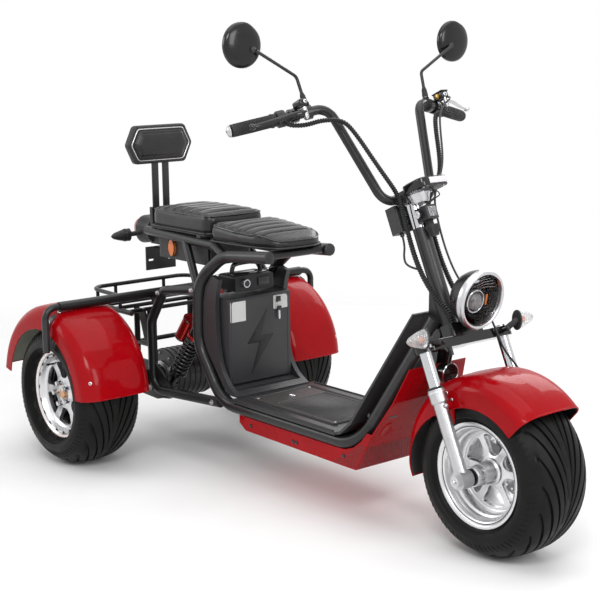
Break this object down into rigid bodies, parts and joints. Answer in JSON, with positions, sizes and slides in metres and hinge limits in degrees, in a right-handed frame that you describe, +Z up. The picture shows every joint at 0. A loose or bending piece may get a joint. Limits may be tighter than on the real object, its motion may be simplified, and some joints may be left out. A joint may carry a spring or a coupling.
{
  "type": "three-wheel electric scooter",
  "caption": "Fat-tyred electric trike scooter with raked fork, high bars, step-through tube frame, two-part seat with backrest and wide rear fenders.",
  "frame": {"origin": "bottom centre of the bounding box, on the ground between the wheels", "axes": "+X forward, +Y to the rider's left, +Z up"},
  "size_m": [1.9983, 1.102, 1.3865],
  "materials": {
    "frame_black": "gloss powder coat, black",
    "chrome": "polished",
    "cast_aluminium": "satin cast",
    "rim_metal": "machined and polished",
    "tyre_rubber": "matt, worn",
    "red_paint": "gloss red",
    "black_plastic": "fine grain, black",
    "gloss_black": "gloss black",
    "seat_cover": "black, stitched",
    "deck_black": "satin black, finely grooved",
    "battery_black": "ribbed, black",
    "red_anodised": "red anodised",
    "red_lens": "moulded red lens",
    "clear_lens": "clear, fluted",
    "amber": "amber reflector",
    "steel": "turned steel",
    "grip_rubber": "ribbed rubber",
    "mirror_glass": "silvered glass in a black shell"
  },
  "bodies": {
    "frame": {"main_frame": "frame_black", "footboard": "deck_black", "deck_mat": "deck_black", "leg_shield": "black_plastic", "lower_fairing": "red_paint", "battery_box": "battery_black", "battery_shroud": "black_plastic", "battery_lock": "black_plastic", "rear_seat": "seat_cover", "front_seat": "seat_cover", "seat_tray": "black_plastic", "seat_pan": "black_plastic", "backrest_posts": "frame_black", "backrest_pad": "seat_cover", "tail_lamp": "black_plastic", "tail_lens": "red_lens", "rear_indicators": "black_plastic", "plate_bracket": "frame_black", "side_reflectors": "amber", "cargo_rack": "frame_black", "rear_axle": "frame_black", "rear_calipers": "cast_aluminium", "shock_dampers": "red_anodised", "shock_springs": "frame_black", "shock_reservoirs": "red_anodised", "rear_right_fender": "red_paint", "rear_left_fender": "red_paint", "guard_bar": "frame_black"},
    "steering": {"fork_crown": "gloss_black", "steering_stem": "chrome", "fork_stanchions": "chrome", "fork_legs": "cast_aluminium", "front_axle": "steel", "front_fender": "red_paint", "headlamp_bucket": "black_plastic", "headlamp_rim": "chrome", "headlamp_lens": "clear_lens", "front_indicators": "clear_lens", "horn": "gloss_black", "handlebar": "frame_black", "bar_clamp": "cast_aluminium", "grips": "grip_rubber", "switch_pods": "black_plastic", "brake_controls": "cast_aluminium", "mirror_stems": "frame_black", "mirrors": "mirror_glass", "dash_display": "black_plastic", "column_fittings": "black_plastic", "front_caliper": "cast_aluminium", "control_cables": "grip_rubber"},
    "front_wheel": {"front_rim": "rim_metal", "front_tyre": "tyre_rubber", "front_disc": "steel"},
    "rear_right_wheel": {"rear_right_rim": "rim_metal", "rear_right_tyre": "tyre_rubber", "rear_right_disc": "steel"},
    "rear_left_wheel": {"rear_left_rim": "rim_metal", "rear_left_tyre": "tyre_rubber", "rear_left_disc": "steel"}
  },
  "joints": [
    {"name": "steering", "type": "hinge", "parent": "frame", "child": "steering", "pos_m": [0.7414, 0, 0.2155], "axis": [-0.4099, 0, 0.9121], "range_deg": [-35, 35]},
    {"name": "front_wheel_spin", "type": "hinge", "parent": "steering", "child": "front_wheel", "pos_m": [0.7706, 0, 0.2286], "axis": [0, 1, 0], "continuous": true},
    {"name": "rear_right_wheel_spin", "type": "hinge", "parent": "frame", "child": "rear_right_wheel", "pos_m": [-0.6934, -0.406, 0.2286], "axis": [0, 1, 0], "continuous": true},
    {"name": "rear_left_wheel_spin", "type": "hinge", "parent": "frame", "child": "rear_left_wheel", "pos_m": [-0.6934, 0.406, 0.2286], "axis": [0, 1, 0], "continuous": true}
  ]
}
